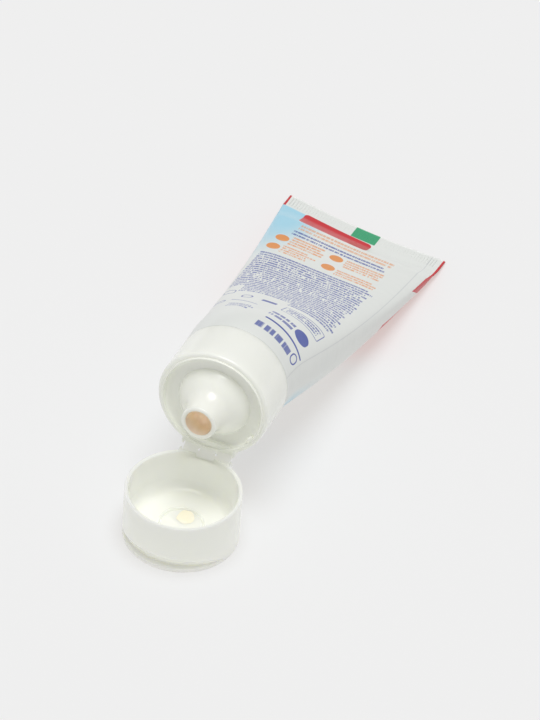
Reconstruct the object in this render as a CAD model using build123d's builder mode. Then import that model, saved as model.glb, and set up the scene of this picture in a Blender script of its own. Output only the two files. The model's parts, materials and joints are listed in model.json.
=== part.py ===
"""Laminate squeeze tube with a one-piece flip-top cap, lying with its lid open.

Millimetres, +Z up, floor at z = 0. The tube lies in the YZ plane with its nozzle towards -Y. The open
lid stands on its closed end and props the cap, and the crimped tail rests on the floor.
Origin: the middle of the bounding box's base.
"""
import math
import os

from build123d import *

os.makedirs("parts", exist_ok=True)

# ---------------------------------------------------------------- driving dimensions
# tube
body_r = 17.5           # outer radius of the round end, a standard 35 mm tube
sleeve_wall = 0.45      # laminate thickness
sleeve_len = 117.6      # from the cap's skirt to the tail edge, along the sleeve's middle
sleeve_round_len = 2.0  # straight round stretch beside the cap
sleeve_bend_len = 10.0  # stretch after it over which the sleeve droops
sleeve_relax = 14.2     # degrees by which the rest curves back towards the level
flat_square = 3.4       # how squarely the sleeve's flat stretch is pressed, 2 is an ellipse
crimp_narrow = 0.038    # how much narrower the tail is than the flattened girth, as a part of body_r
crimp_len = 6.0         # welded band at the tail
crimp_thick = 1.1       # two laminate walls welded together
fill_end_gap = 32.0     # empty stretch of the sleeve before the crimp

# cap base
skirt_len = 16.0        # outside length of the base's skirt
skirt_wall = 1.4
edge_round = 0.9        # rounded outer edge beside the ledge
bead_r = body_r - 1.38  # outer radius of the raised ring, inside the shut lid's wall
bead_w = 0.55
bead_h = 0.6
dish_depth = 1.5        # how far the dish dips under the ledge
dish_r = body_r - 4.9   # where the dish's flat floor begins
face_thick = 1.5
bell_r = body_r - 6.1   # foot of the domed bell that carries the nozzle
nozzle_under = 6.15     # the nozzle tip stands this much lower than the lid is tall
nozzle_r = 5.4
bore_r = 4.1
paste_under = 4.0       # paste surface in the bore, below the nozzle tip

# shoulder of the tube, under the cap
neck_r = 6.6
neck_bore_r = 4.6
shoulder_wall = 1.4
shoulder_plug_len = sleeve_round_len - 0.2   # how far the shoulder's rim reaches into the sleeve

# lid
lid_h = 17.35
lid_r = body_r
lid_wall = 1.1
lid_floor = 3.4
lid_corner = 3.2        # soft fillet round the inside of the closed end
foot_round = 0.35
seal_r = 6.9            # outer radius of the sealing ring
seal_w = 0.8
seal_h = 0.8
scoop_deep = 2.0        # thumb scoop opposite the hinge
scoop_half_deg = 70.0   # how far round it runs, each way
scoop_low = 1.2         # its sharp lower lip
scoop_high = 5.4        # where it runs out into the wall

# double living hinge
cap_pitch = 6.0         # the cap's axis rises by this angle towards the nozzle
hinge_off = 2.0         # from the parting plane to each hinge line
hinge_in = 0.6          # hinge lines lie this far inside the wall's outermost line
link_thick = 0.9
link_w = 15.0           # width of the whole link
web_w = 4.6             # centre web, between the two small holes
web_hole_r = 0.4

# clearances
rim_gap = 0.2           # between lid rim and ledge when shut
hinge_gap = 0.09        # running clearance round the link's rounded edges
notch_gap = 0.3         # behind and beside the link
seat_gap = 0.05         # shoulder in sleeve, paste in bore
fill_gap = 0.35         # paste inside the laminate

# ---------------------------------------------------------------- layout
nozzle_h = lid_h - nozzle_under         # nozzle tip above the ledge
paste_level = nozzle_h - paste_under
boss_in = 3.9                           # hinge bosses start this far inside the outer radius
pitch = math.radians(cap_pitch)
open_rad = math.pi / 2 + pitch          # lid opened until it stands upright
hinge_v = body_r - hinge_in             # hinge lines' distance below the cap's axis
lid_hinge_in = lid_r - hinge_v          # the same line seen from the lid's wall


def cap_dir(angle):
    """Unit vector along the tube towards the nozzle, where the tube is pitched by angle."""
    return Vector(0, -math.cos(angle), math.sin(angle))


def cap_up(angle):
    """Unit vector across the tube, upwards, where the tube is pitched by angle."""
    return Vector(0, math.sin(angle), math.cos(angle))


axial = cap_dir(pitch)
upward = cap_up(pitch)

# The lid's hinge line stands hinge_off - rim_gap under its rim. The base's line follows from the link.
lid_line_z = lid_h - (hinge_off - rim_gap)
link_vec = axial * (2 * hinge_off * math.cos(open_rad / 2)) - upward * (
    2 * hinge_off * math.sin(open_rad / 2)
)
base_line_z = lid_line_z - link_vec.Z
face_z = base_line_z + hinge_v * math.cos(pitch) + hinge_off * math.sin(pitch)

# Spine of the sleeve: straight at cap_pitch, a short bend down, then a long gentle curve back up.
after_len = sleeve_len - sleeve_round_len - sleeve_bend_len
relax = math.radians(sleeve_relax)


def arc_run(start, turn, length):
    """Follow an arc from start, a (y, z, pitch), while the pitch grows by turn radians."""
    y, z, angle = start
    if abs(turn) < 1e-6:
        return y + length * math.cos(angle), z - length * math.sin(angle), angle
    radius = length / turn
    return (
        y + radius * (math.sin(angle + turn) - math.sin(angle)),
        z - radius * (math.cos(angle) - math.cos(angle + turn)),
        angle + turn,
    )


def spine_local(dist, turn=None):
    """Point (y, z) of the spine and its pitch, dist from the skirt, with the ledge's centre at y = 0."""
    turn = bend if turn is None else turn
    run = skirt_len + min(dist, sleeve_round_len)
    here = (run * math.cos(pitch), face_z - run * math.sin(pitch), pitch)
    part = min(max(dist - sleeve_round_len, 0) / sleeve_bend_len, 1)
    here = arc_run(here, turn * part, sleeve_bend_len * part)
    part = max(dist - sleeve_round_len - sleeve_bend_len, 0) / after_len
    return arc_run(here, -relax * part, after_len * part)


low, high = 1e-4, math.radians(80)
for _ in range(60):
    bend = (low + high) / 2
    tail = spine_local(sleeve_len, bend)
    if tail[1] > crimp_thick / 2 * math.cos(tail[2]):
        low = bend
    else:
        high = bend


base_line_y = -hinge_v * math.sin(pitch) + hinge_off * math.cos(pitch)
lid_line_y = base_line_y + link_vec.Y
lid_y_local = lid_line_y - hinge_v
tail_y, tail_z, tail_pitch = spine_local(sleeve_len)
y_low = lid_y_local - lid_r
y_high = tail_y + crimp_thick / 2 * math.sin(tail_pitch)
shift = -(y_low + y_high) / 2

face = Vector(0, shift, face_z)                      # centre of the ledge plane
lid_y = lid_y_local + shift
base_line = Vector(0, base_line_y + shift, base_line_z)
lid_line = Vector(0, lid_line_y + shift, lid_line_z)

# Sketch plane of the cap: local x is the radius, local y the distance along the axis from the ledge.
cap_half = Plane(origin=face, x_dir=(1, 0, 0), z_dir=-upward)
cap_axis = Axis(face, axial)
# Side view of the cap, for hinge features: local x along the axis, local y downwards, normal +X.
lid_half = Plane(origin=(0, lid_y, 0), x_dir=(1, 0, 0), z_dir=(0, -1, 0))
lid_axis = Axis((0, lid_y, 0), (0, 0, 1))


def ring_points(half_w, half_t, square, count=28):
    """Points of one closed cross section: an ellipse where square is 2, squarer above it."""
    points = []
    for i in range(count):
        c, s = math.cos(2 * math.pi * i / count), math.sin(2 * math.pi * i / count)
        points.append(
            (
                math.copysign(half_w * abs(c) ** (2 / square), c),
                math.copysign(half_t * abs(s) ** (2 / square), s),
            )
        )
    return points


def girth_of(half_w, half_t, square):
    """Length round one cross section."""
    ring = ring_points(half_w, half_t, square, 240)
    return sum(math.dist(ring[i], ring[i - 1]) for i in range(len(ring)))


def half_thickness(half_w, square):
    """Half thickness of a section of half width half_w whose girth is that of the round end."""
    lo, hi = 0.0, body_r
    for _ in range(30):
        b = (lo + hi) / 2
        if girth_of(half_w, b, square) < 2 * math.pi * body_r:
            lo = b
        else:
            hi = b
    return (lo + hi) / 2


crimp_half_w = math.pi * body_r / 2 - crimp_narrow * body_r    # the round end's girth pressed flat


def section_half(dist):
    """Half width, half thickness and squareness of the sleeve, dist from the skirt."""
    taper = sleeve_len - crimp_len - sleeve_round_len
    t = min(max((dist - sleeve_round_len) / taper, 0.0), 1.0)
    if t <= 0:
        return body_r, body_r, 2.0
    width = body_r + (crimp_half_w - body_r) * t        # the side edges are straight
    ease = min(t / 0.6, 1.0)
    square = 2.0 + (flat_square - 2.0) * ease * ease * (3 - 2 * ease)
    thick = half_thickness(width, square) * min(1.0, (1.0 - t) * 12)
    return width, max(thick, crimp_thick / 2), square


def section_plane(dist):
    """Cross plane of the sleeve: local x is +X, local y the upward direction."""
    y, z, angle = spine_local(dist)
    return Plane(origin=(0, y + shift, z), x_dir=(1, 0, 0), z_dir=cap_dir(angle))


def arc_mid(cx, cy, radius, degrees):
    """Point on a circle, used as the middle of a small round."""
    turn = math.radians(degrees)
    return cx + radius * math.cos(turn), cy + radius * math.sin(turn)


crimp_start = sleeve_len - crimp_len
straight = [0.0, sleeve_round_len / 2, sleeve_round_len]
taper_len = crimp_start - sleeve_round_len
bend_end = sleeve_round_len + sleeve_bend_len
wedge = [sleeve_round_len + sleeve_bend_len * i / 3 for i in range(1, 4)]
wedge += [bend_end + (crimp_start - bend_end) * i / 8 for i in range(1, 8)]
near_weld = [crimp_start - 5.5, crimp_start - 2.4, crimp_start, crimp_start + 1.2]
inner_end = crimp_start - 3.0

# ---------------------------------------------------------------- sleeve
# One loft of closed sections for the outside, another for the cavity, which stops short of the weld.
with BuildPart() as cavity:
    for station in [-1.0] + straight + wedge + [crimp_start - 5.5, inner_end]:
        w, t, sq = section_half(station)
        with BuildSketch(section_plane(station)):
            with BuildLine():
                Spline(*ring_points(w - sleeve_wall, t - sleeve_wall, sq), periodic=True)
            make_face()
    loft()

with BuildPart() as sleeve:
    for station in straight + wedge + near_weld + [crimp_start + crimp_len / 2, sleeve_len]:
        w, t, sq = section_half(station)
        with BuildSketch(section_plane(station)):
            with BuildLine():
                Spline(*ring_points(w, t, sq), periodic=True)
            make_face()
    loft()
    add(cavity.part, mode=Mode.SUBTRACT)
sleeve.part.label = "tube_sleeve"

# ---------------------------------------------------------------- shoulder and neck
plug_r = body_r - sleeve_wall - seat_gap
seat_r = body_r - skirt_wall - 0.1
neck_top = -face_thick - dish_depth + 1.2
with BuildPart() as shoulder:
    with BuildSketch(cap_half):
        with BuildLine():
            Polyline(
                (plug_r, -skirt_len - shoulder_plug_len),
                (plug_r, -skirt_len),
                (seat_r, -skirt_len),
                (seat_r, -skirt_len + 2.6),
                (neck_r, -skirt_len + 7.6),
                (neck_r, neck_top),
                (neck_bore_r, neck_top),
                (neck_bore_r, -skirt_len + 6.8),
                (seat_r - shoulder_wall, -skirt_len + 1.6),
                (plug_r - shoulder_wall, -skirt_len - shoulder_plug_len),
                close=True,
            )
        make_face()
    revolve(axis=cap_axis)
shoulder.part.label = "tube_shoulder"

# ---------------------------------------------------------------- paste
fill_end = crimp_start - fill_end_gap
fill_stations = [sleeve_round_len] + [s for s in wedge if s < fill_end - 4] + [fill_end]
with BuildPart() as paste:
    for station in fill_stations:
        w, t, sq = section_half(station)
        inset = sleeve_wall + fill_gap
        with BuildSketch(section_plane(station)):
            with BuildLine():
                Spline(*ring_points(w - inset, t - inset, sq), periodic=True)
            make_face()
    loft()
    with BuildSketch(cap_half):
        with BuildLine():
            Polyline(
                (0, -skirt_len - shoulder_plug_len - 2),
                (plug_r - shoulder_wall - seat_gap, -skirt_len - shoulder_plug_len - 2),
                (plug_r - shoulder_wall - seat_gap, -skirt_len - shoulder_plug_len),
                (seat_r - shoulder_wall - seat_gap, -skirt_len + 1.5),
                (neck_bore_r - seat_gap, -skirt_len + 6.7),
                (neck_bore_r - seat_gap, neck_top),
                (bore_r - seat_gap, neck_top),
                (bore_r - seat_gap, paste_level - 0.4),
                (bore_r - 1.2, paste_level - 0.1),
                (0, paste_level),
                close=True,
            )
        make_face()
    revolve(axis=cap_axis)
paste.part.label = "paste"

# ---------------------------------------------------------------- cap base
# side of the bell: how far out of the way from nozzle to foot, and how far up the nozzle
bell_curve = [(0.83, 0.03), (0.56, 0.20), (0.26, 0.38), (0.08, 0.62)]
notch_v = hinge_v - link_thick / 2 - notch_gap     # floor of the notch behind the link
boss_w = link_w + 2 * (notch_gap + 0.7)
seat_r_link = link_thick / 2 + hinge_gap           # round seats of the link's two edges
with BuildPart() as cap_base:
    with BuildSketch(cap_half):
        with BuildLine():
            Line((body_r - skirt_wall, -skirt_len), (body_r, -skirt_len))
            Line((body_r, -skirt_len), (body_r, -edge_round))
            ThreePointArc(
                (body_r, -edge_round),
                arc_mid(body_r - edge_round, -edge_round, edge_round, 45),
                (body_r - edge_round, 0),
            )
            Line((body_r - edge_round, 0), (bead_r, 0))
            Line((bead_r, 0), (bead_r, bead_h - bead_w / 2))
            ThreePointArc(
                (bead_r, bead_h - bead_w / 2),
                (bead_r - bead_w / 2, bead_h),
                (bead_r - bead_w, bead_h - bead_w / 2),
            )
            Line((bead_r - bead_w, bead_h - bead_w / 2), (bead_r - bead_w, -0.25))
            Spline(
                (bead_r - bead_w, -0.25),
                (dish_r + 1.6, -dish_depth + 0.12),
                (dish_r, -dish_depth),
                tangents=((-0.35, -1.0), (-1.0, 0.0)),
            )
            Line((dish_r, -dish_depth), (bell_r, -dish_depth))
            Spline(
                (bell_r, -dish_depth),
                *[(nozzle_r + (bell_r - nozzle_r) * f, nozzle_h * g) for f, g in bell_curve],
                (nozzle_r, nozzle_h - 1.0),
                tangents=((-0.30, 1.0), (-0.10, 1.0)),
            )
            lip_mid = (nozzle_r + bore_r) / 2
            ThreePointArc(
                (nozzle_r, nozzle_h - 1.0),
                (lip_mid, nozzle_h),
                (bore_r, nozzle_h - 0.7),
            )
            Line((bore_r, nozzle_h - 0.7), (bore_r, neck_top))
            Line((bore_r, neck_top), (neck_r + seat_gap, neck_top))
            Line((neck_r + seat_gap, neck_top), (neck_r + seat_gap, -dish_depth - face_thick))
            Line(
                (neck_r + seat_gap, -dish_depth - face_thick),
                (body_r - skirt_wall, -dish_depth - face_thick),
            )
            Line((body_r - skirt_wall, -dish_depth - face_thick), (body_r - skirt_wall, -skirt_len))
        make_face()
    revolve(axis=cap_axis)
    # boss behind the hinge line, so that the straight hinge has wall behind it
    with BuildSketch(Plane(origin=face - upward * (body_r - boss_in), x_dir=(1, 0, 0), z_dir=-upward)):
        with Locations((0, -(hinge_off + 6.0) / 2)):
            RectangleRounded(boss_w, hinge_off + 6.0, 0.9)
    extrude(amount=hinge_v + 0.3 - (body_r - boss_in))
    # notch for the link, from the ledge to just past the hinge line
    notch_end = hinge_off
    with BuildSketch(Plane(origin=face + upward * (-notch_v), x_dir=(1, 0, 0), z_dir=-upward)):
        with Locations((0, -notch_end / 2 + 1.5)):
            Rectangle(link_w + 2 * notch_gap, notch_end + 3.0)
    extrude(amount=4.0, mode=Mode.SUBTRACT)
    # relief outside the hinge line, so that the link can fold right back
    with BuildSketch(Plane(origin=face + upward * (-hinge_v), x_dir=(1, 0, 0), z_dir=-upward)):
        with Locations((0, -(hinge_off + seat_r_link) / 2 + 1.5)):
            Rectangle(link_w + 2 * notch_gap, hinge_off + seat_r_link + 3.0)
    extrude(amount=4.0, mode=Mode.SUBTRACT)
    # round seat of the link's edge
    with BuildSketch(Plane(origin=base_line - Vector(link_w / 2 + notch_gap, 0, 0),
                           x_dir=(0, 1, 0), z_dir=(1, 0, 0))):
        Circle(seat_r_link)
    extrude(amount=link_w + 2 * notch_gap, mode=Mode.SUBTRACT)
cap_base.part.label = "cap_base"

# ---------------------------------------------------------------- lid
cavity_r = lid_r - lid_wall
scoop_side = math.radians(scoop_half_deg)
# The scoop is turned about an axis set towards the hinge, so that it is a crescent in plan.
scoop_e = scoop_deep * (2 * lid_r - scoop_deep) / (
    2 * ((lid_r - scoop_deep) - lid_r * math.cos(scoop_side))
)
scoop_r = lid_r - scoop_deep + scoop_e
scoop_plane = Plane(origin=(0, lid_y + scoop_e, 0), x_dir=(1, 0, 0), z_dir=(0, -1, 0))
with BuildPart() as lid:
    with BuildSketch(lid_half):
        with BuildLine():
            Line((0, 0), (lid_r - foot_round, 0))
            ThreePointArc(
                (lid_r - foot_round, 0),
                arc_mid(lid_r - foot_round, foot_round, foot_round, -45),
                (lid_r, foot_round),
            )
            Line((lid_r, foot_round), (lid_r, lid_h - 0.2))
            Line((lid_r, lid_h - 0.2), (lid_r - 0.2, lid_h))
            Line((lid_r - 0.2, lid_h), (cavity_r + 0.25, lid_h))
            Line((cavity_r + 0.25, lid_h), (cavity_r, lid_h - 0.25))
            Line((cavity_r, lid_h - 0.25), (cavity_r, lid_floor + lid_corner))
            ThreePointArc(
                (cavity_r, lid_floor + lid_corner),
                arc_mid(cavity_r - lid_corner, lid_floor + lid_corner, lid_corner, -45),
                (cavity_r - lid_corner, lid_floor),
            )
            Line((cavity_r - lid_corner, lid_floor), (seal_r, lid_floor))
            Line((seal_r, lid_floor), (seal_r, lid_floor + seal_h - 0.3))
            ThreePointArc(
                (seal_r, lid_floor + seal_h - 0.3),
                (seal_r - seal_w / 2, lid_floor + seal_h),
                (seal_r - seal_w, lid_floor + seal_h - 0.3),
            )
            Line((seal_r - seal_w, lid_floor + seal_h - 0.3), (seal_r - seal_w, lid_floor))
            Line((seal_r - seal_w, lid_floor), (0, lid_floor))
            Line((0, lid_floor), (0, 0))
        make_face()
    revolve(axis=lid_axis)
    # thumb scoop
    with BuildSketch(scoop_plane):
        with BuildLine():
            Polyline(
                (scoop_r, scoop_low),
                (scoop_r + scoop_deep + 4, scoop_low),
                (scoop_r + scoop_deep + 4, scoop_high + 0.6),
                (scoop_r + scoop_deep + 0.05, scoop_high + 0.6),
            )
            Spline(
                (scoop_r + scoop_deep + 0.05, scoop_high + 0.6),
                (scoop_r + 0.55 * scoop_deep, scoop_low + 0.62 * (scoop_high - scoop_low)),
                (scoop_r, scoop_low),
                tangents=((-0.15, -1.0), (-0.35, -1.0)),
            )
        make_face()
    revolve(axis=Axis((0, lid_y + scoop_e, 0), (0, 0, 1)), mode=Mode.SUBTRACT)
    # boss under the hinge line
    lid_line_in = hinge_v                    # from the lid's axis
    with BuildSketch(Plane(origin=(0, lid_y + body_r - boss_in, lid_h), x_dir=(1, 0, 0), z_dir=(0, 1, 0))):
        with Locations((0, (hinge_off + 6.0) / 2)):
            RectangleRounded(boss_w, hinge_off + 6.0, 0.9)
    extrude(amount=lid_line_in + 0.3 - (body_r - boss_in))
    with BuildSketch(Plane(origin=(0, lid_y, lid_floor + lid_corner), x_dir=(1, 0, 0),
                           z_dir=(0, 0, 1))):
        Circle(cavity_r)
    extrude(amount=lid_h, mode=Mode.SUBTRACT)
    # notch for the link
    with BuildSketch(Plane(origin=(0, lid_y + notch_v, lid_h), x_dir=(1, 0, 0), z_dir=(0, 1, 0))):
        with Locations((0, (hinge_off - rim_gap) / 2 - 1.5)):
            Rectangle(link_w + 2 * notch_gap, hinge_off - rim_gap + 3.0)
    extrude(amount=4.0, mode=Mode.SUBTRACT)
    lid_run = hinge_off - rim_gap + seat_r_link
    with BuildSketch(Plane(origin=(0, lid_y + hinge_v, lid_h), x_dir=(1, 0, 0), z_dir=(0, 1, 0))):
        with Locations((0, lid_run / 2 - 1.5)):
            Rectangle(link_w + 2 * notch_gap, lid_run + 3.0)
    extrude(amount=4.0, mode=Mode.SUBTRACT)
    with BuildSketch(Plane(origin=lid_line - Vector(link_w / 2 + notch_gap, 0, 0),
                           x_dir=(0, 1, 0), z_dir=(1, 0, 0))):
        Circle(seat_r_link)
    extrude(amount=link_w + 2 * notch_gap, mode=Mode.SUBTRACT)
lid.part.label = "lid"

# ---------------------------------------------------------------- hinge link
link_dir = link_vec.normalized()
link_normal = Vector(1, 0, 0).cross(link_dir)
side_plane = Plane(origin=base_line - Vector(link_w / 2, 0, 0), x_dir=link_dir, z_dir=(1, 0, 0))
link_mid = base_line + link_vec * 0.5
with BuildPart() as link:
    with BuildSketch(side_plane):
        with Locations((hinge_off, 0)):
            SlotOverall(2 * hinge_off + link_thick, link_thick)
    extrude(amount=link_w)
    # thin folds beside the web, each ending in a small round hole
    with BuildSketch(Plane(origin=link_mid, x_dir=(1, 0, 0), z_dir=link_normal)):
        with Locations((-web_w / 2 - web_hole_r, 0), (web_w / 2 + web_hole_r, 0)):
            Circle(web_hole_r)
    extrude(amount=link_thick, both=True, mode=Mode.SUBTRACT)
link.part.label = "hinge_link"

for piece in (sleeve, shoulder, paste, cap_base, lid, link):
    export_step(piece.part, "parts/" + piece.part.label + ".step")

print("cap face centre", face, "lid axis y", round(lid_y, 4))
print("base hinge line", base_line, "lid hinge line", lid_line)
print("tail pitch", round(math.degrees(tail_pitch), 2), "tail z", round(tail_z, 3), "shift", round(shift, 3))
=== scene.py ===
"""Laminate squeeze tube with an open flip-top cap: its visible surfaces, finishes, light and camera."""
import json
import logging
import math
from dataclasses import dataclass, field
from enum import Enum

import bpy
from mathutils import Matrix, Vector, noise


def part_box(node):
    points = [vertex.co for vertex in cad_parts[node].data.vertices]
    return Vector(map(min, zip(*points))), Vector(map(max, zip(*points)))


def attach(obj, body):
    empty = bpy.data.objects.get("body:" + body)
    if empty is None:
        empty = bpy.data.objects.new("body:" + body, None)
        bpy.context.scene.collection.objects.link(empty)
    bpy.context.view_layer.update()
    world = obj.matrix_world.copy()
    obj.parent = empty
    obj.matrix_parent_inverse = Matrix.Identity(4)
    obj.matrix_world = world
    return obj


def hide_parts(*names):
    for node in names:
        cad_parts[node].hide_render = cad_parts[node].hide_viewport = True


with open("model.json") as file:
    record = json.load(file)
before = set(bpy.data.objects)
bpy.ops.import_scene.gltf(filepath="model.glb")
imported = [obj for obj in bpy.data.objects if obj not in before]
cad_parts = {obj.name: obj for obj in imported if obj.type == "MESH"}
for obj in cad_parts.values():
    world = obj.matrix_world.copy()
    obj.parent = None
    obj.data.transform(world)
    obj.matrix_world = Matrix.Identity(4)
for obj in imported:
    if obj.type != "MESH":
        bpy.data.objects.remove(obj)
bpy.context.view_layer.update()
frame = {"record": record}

MM = 0.001
MAP_NAME = "print"
MAP_UNIT = 100.0  # millimetres of unrolled sleeve to one unit of the print map
MAP_WRAP = 60.0  # a face that is wider than this on the print map crosses its edge
SEAM_U = 22.5  # the lap seam's place across the unrolled sleeve
LOG = logging.getLogger("tube")


class Body(Enum):
    """Rigid bodies that carry the new pieces."""

    TUBE = "tube"
    LID = "lid"


class Slot(Enum):
    """Names for material slots; no piece here is given them."""

    LAMINATE = "laminate"
    PASTE = "paste"
    CAP = "cap"


class Ink(Enum):
    """Printing inks, as linear colours."""

    BLUE = (0.045, 0.080, 0.38)
    RED = (0.62, 0.030, 0.040)
    ORANGE = (0.80, 0.31, 0.085)
    GREEN = (0.045, 0.38, 0.18)
    SKY = (0.38, 0.70, 0.86)


# ------------------------------------------------------------------ node helpers
class Nodes:
    """A node tree, with short calls for its arithmetic."""

    def __init__(self, tree: bpy.types.NodeTree) -> None:
        """Keep the tree to which the calls add nodes."""
        self.tree = tree

    def put(self, socket: bpy.types.NodeSocket, value: object) -> None:
        """Link a socket or set its number.

        Args:
            socket: The input to fill.
            value: A socket to link, or a plain value.
        """
        if isinstance(value, bpy.types.NodeSocket):
            self.tree.links.new(value, socket)
        else:
            socket.default_value = value

    def math(self, kind: str, a: object, b: object = 0.0, c: object = 0.0) -> bpy.types.NodeSocket:
        """Add a Math node.

        Args:
            kind: The node's operation.
            a: First operand.
            b: Second operand.
            c: Third operand.

        Returns:
            The node's output.
        """
        node = self.tree.nodes.new("ShaderNodeMath")
        node.operation = kind
        for socket, value in zip(node.inputs, (a, b, c)):
            self.put(socket, value)
        return node.outputs[0]

    def vector(self, x: object, y: object, z: object = 0.0) -> bpy.types.NodeSocket:
        """Join three values to a vector.

        Args:
            x: First part.
            y: Second part.
            z: Third part.

        Returns:
            The vector.
        """
        node = self.tree.nodes.new("ShaderNodeCombineXYZ")
        for socket, value in zip(node.inputs, (x, y, z)):
            self.put(socket, value)
        return node.outputs[0]


class Graph(Nodes):
    """A material's node tree, with short calls for the arithmetic of patterns."""

    def __init__(self, name: str) -> None:
        """Start a material.

        Args:
            name: The material's name.
        """
        self.material = bpy.data.materials.new(name)
        self.material.use_nodes = True
        super().__init__(self.material.node_tree)
        self.tree.nodes.clear()
        self.shader = self.tree.nodes.new("ShaderNodeBsdfPrincipled")
        out = self.tree.nodes.new("ShaderNodeOutputMaterial")
        self.tree.links.new(self.shader.outputs[0], out.inputs[0])

    def step(self, value: object, low: float, high: float) -> bpy.types.NodeSocket:
        """Rise smoothly from 0 at low to 1 at high.

        Args:
            value: The socket that is read.
            low: Where the rise begins.
            high: Where it ends.

        Returns:
            The rise, from 0 to 1.
        """
        node = self.tree.nodes.new("ShaderNodeMapRange")
        node.interpolation_type = "SMOOTHSTEP"
        self.put(node.inputs["Value"], value)
        node.inputs["From Min"].default_value = low
        node.inputs["From Max"].default_value = high
        return node.outputs[0]

    def fall(self, value: object, low: float, high: float) -> bpy.types.NodeSocket:
        """Fall smoothly from 1 at low to 0 at high."""
        return self.math("SUBTRACT", 1.0, self.step(value, low, high))

    def apart(self, value: object, centre: object) -> bpy.types.NodeSocket:
        """How far a value is from a centre."""
        return self.math("ABSOLUTE", self.math("SUBTRACT", value, centre))

    def times(self, *factors: object) -> bpy.types.NodeSocket:
        """Multiply any number of factors.

        Args:
            factors: Sockets or numbers.

        Returns:
            Their product.
        """
        result = factors[0]
        for factor in factors[1:]:
            result = self.math("MULTIPLY", result, factor)
        return result

    def split(self, vector: object) -> tuple:
        """Split a vector into its three parts.

        Args:
            vector: The socket to split.

        Returns:
            The X, Y and Z sockets.
        """
        node = self.tree.nodes.new("ShaderNodeSeparateXYZ")
        self.put(node.inputs[0], vector)
        return tuple(node.outputs)

    def place(self) -> bpy.types.NodeSocket:
        """Object coordinates, in metres."""
        return self.tree.nodes.new("ShaderNodeTexCoord").outputs["Object"]

    def noise(self, vector: object, scale: float, detail: float = 3.0,
              rough: float = 0.5) -> bpy.types.NodeSocket:
        """Add a noise texture.

        Args:
            vector: Where it is read.
            scale: Its scale.
            detail: Its octaves.
            rough: How strong the fine octaves are.

        Returns:
            Its value.
        """
        node = self.tree.nodes.new("ShaderNodeTexNoise")
        self.put(node.inputs["Vector"], vector)
        node.inputs["Scale"].default_value = scale
        node.inputs["Detail"].default_value = detail
        node.inputs["Roughness"].default_value = rough
        return node.outputs[0]

    def white(self, vector: object) -> bpy.types.NodeSocket:
        """Add a white noise texture.

        Args:
            vector: Where it is read.

        Returns:
            A number from 0 to 1 for each cell.
        """
        node = self.tree.nodes.new("ShaderNodeTexWhiteNoise")
        self.put(node.inputs["Vector"], vector)
        return node.outputs["Value"]

    def mix(self, factor: object, a: object, b: object) -> bpy.types.NodeSocket:
        """Mix two colours.

        Args:
            factor: 0 for a, 1 for b.
            a: First colour.
            b: Second colour.

        Returns:
            The mixed colour.
        """
        node = self.tree.nodes.new("ShaderNodeMix")
        node.data_type = "RGBA"
        self.put(node.inputs[0], factor)
        for socket, value in ((node.inputs[6], a), (node.inputs[7], b)):
            self.put(socket, (*value, 1.0) if isinstance(value, tuple) else value)
        return node.outputs[2]

    def bump(self, height: object, strength: float, distance: float,
             normal: object = None) -> bpy.types.NodeSocket:
        """Add a bump node.

        Args:
            height: The height that is read.
            strength: How much of it shows.
            distance: The height's size, in metres.
            normal: A normal from an earlier bump.

        Returns:
            The bumped normal.
        """
        node = self.tree.nodes.new("ShaderNodeBump")
        node.inputs["Strength"].default_value = strength
        node.inputs["Distance"].default_value = distance
        self.put(node.inputs["Height"], height)
        if normal is not None:
            self.put(node.inputs["Normal"], normal)
        return node.outputs[0]

    def set(self, **values: object) -> None:
        """Fill the shader's inputs, named with underscores for spaces.

        Args:
            values: Sockets or plain values.
        """
        for name, value in values.items():
            self.put(self.shader.inputs[name.replace("_", " ")], value)


# ------------------------------------------------------------------ finishes
@dataclass(frozen=True)
class CapPlastic:
    """Glossy white moulded plastic, slightly see-through at its thin edges, with a faint painted glow that
    stands in for light passing through the thin plastic.
    """

    name: str = "cap_plastic"
    colour: tuple = (0.925, 0.94, 0.865)
    shade: tuple = (0.905, 0.92, 0.84)
    gloss: float = 0.20
    through: float = 0.8
    # glow is painted light: an even self-glow of the plastic that stands in for light passing through it
    glow: float = 0.05
    painted_glow_colour: tuple = (1.0, 1.0, 0.84, 1.0)
    flow_scale: tuple = (40.0, 40.0, 160.0)

    def build(self) -> bpy.types.Material:
        """Make the material.

        Returns:
            The material.
        """
        g = Graph(self.name)
        at = g.place()
        cloud = g.noise(at, 45.0, 2.0)
        parts = [g.times(part, scale) for part, scale in zip(g.split(at), self.flow_scale)]
        flow = g.noise(g.vector(*parts), 1.0, 2.0)
        colour = g.mix(g.step(cloud, 0.3, 0.75), self.colour, self.shade)
        rough = g.math("ADD", self.gloss, g.times(flow, 0.08))
        g.set(Base_Color=colour, Roughness=rough, Normal=g.bump(flow, 0.06, 0.0004))
        # painted light: the plastic glows faintly to stand in for light passing through its thin walls
        g.set(Emission_Color=self.painted_glow_colour, Emission_Strength=self.glow)
        g.set(IOR=1.49, Subsurface_Weight=self.through, Subsurface_Scale=0.006)
        g.set(Subsurface_Radius=(1.0, 1.0, 0.85), Coat_Weight=0.2, Coat_Roughness=0.08)
        return g.material


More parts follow.
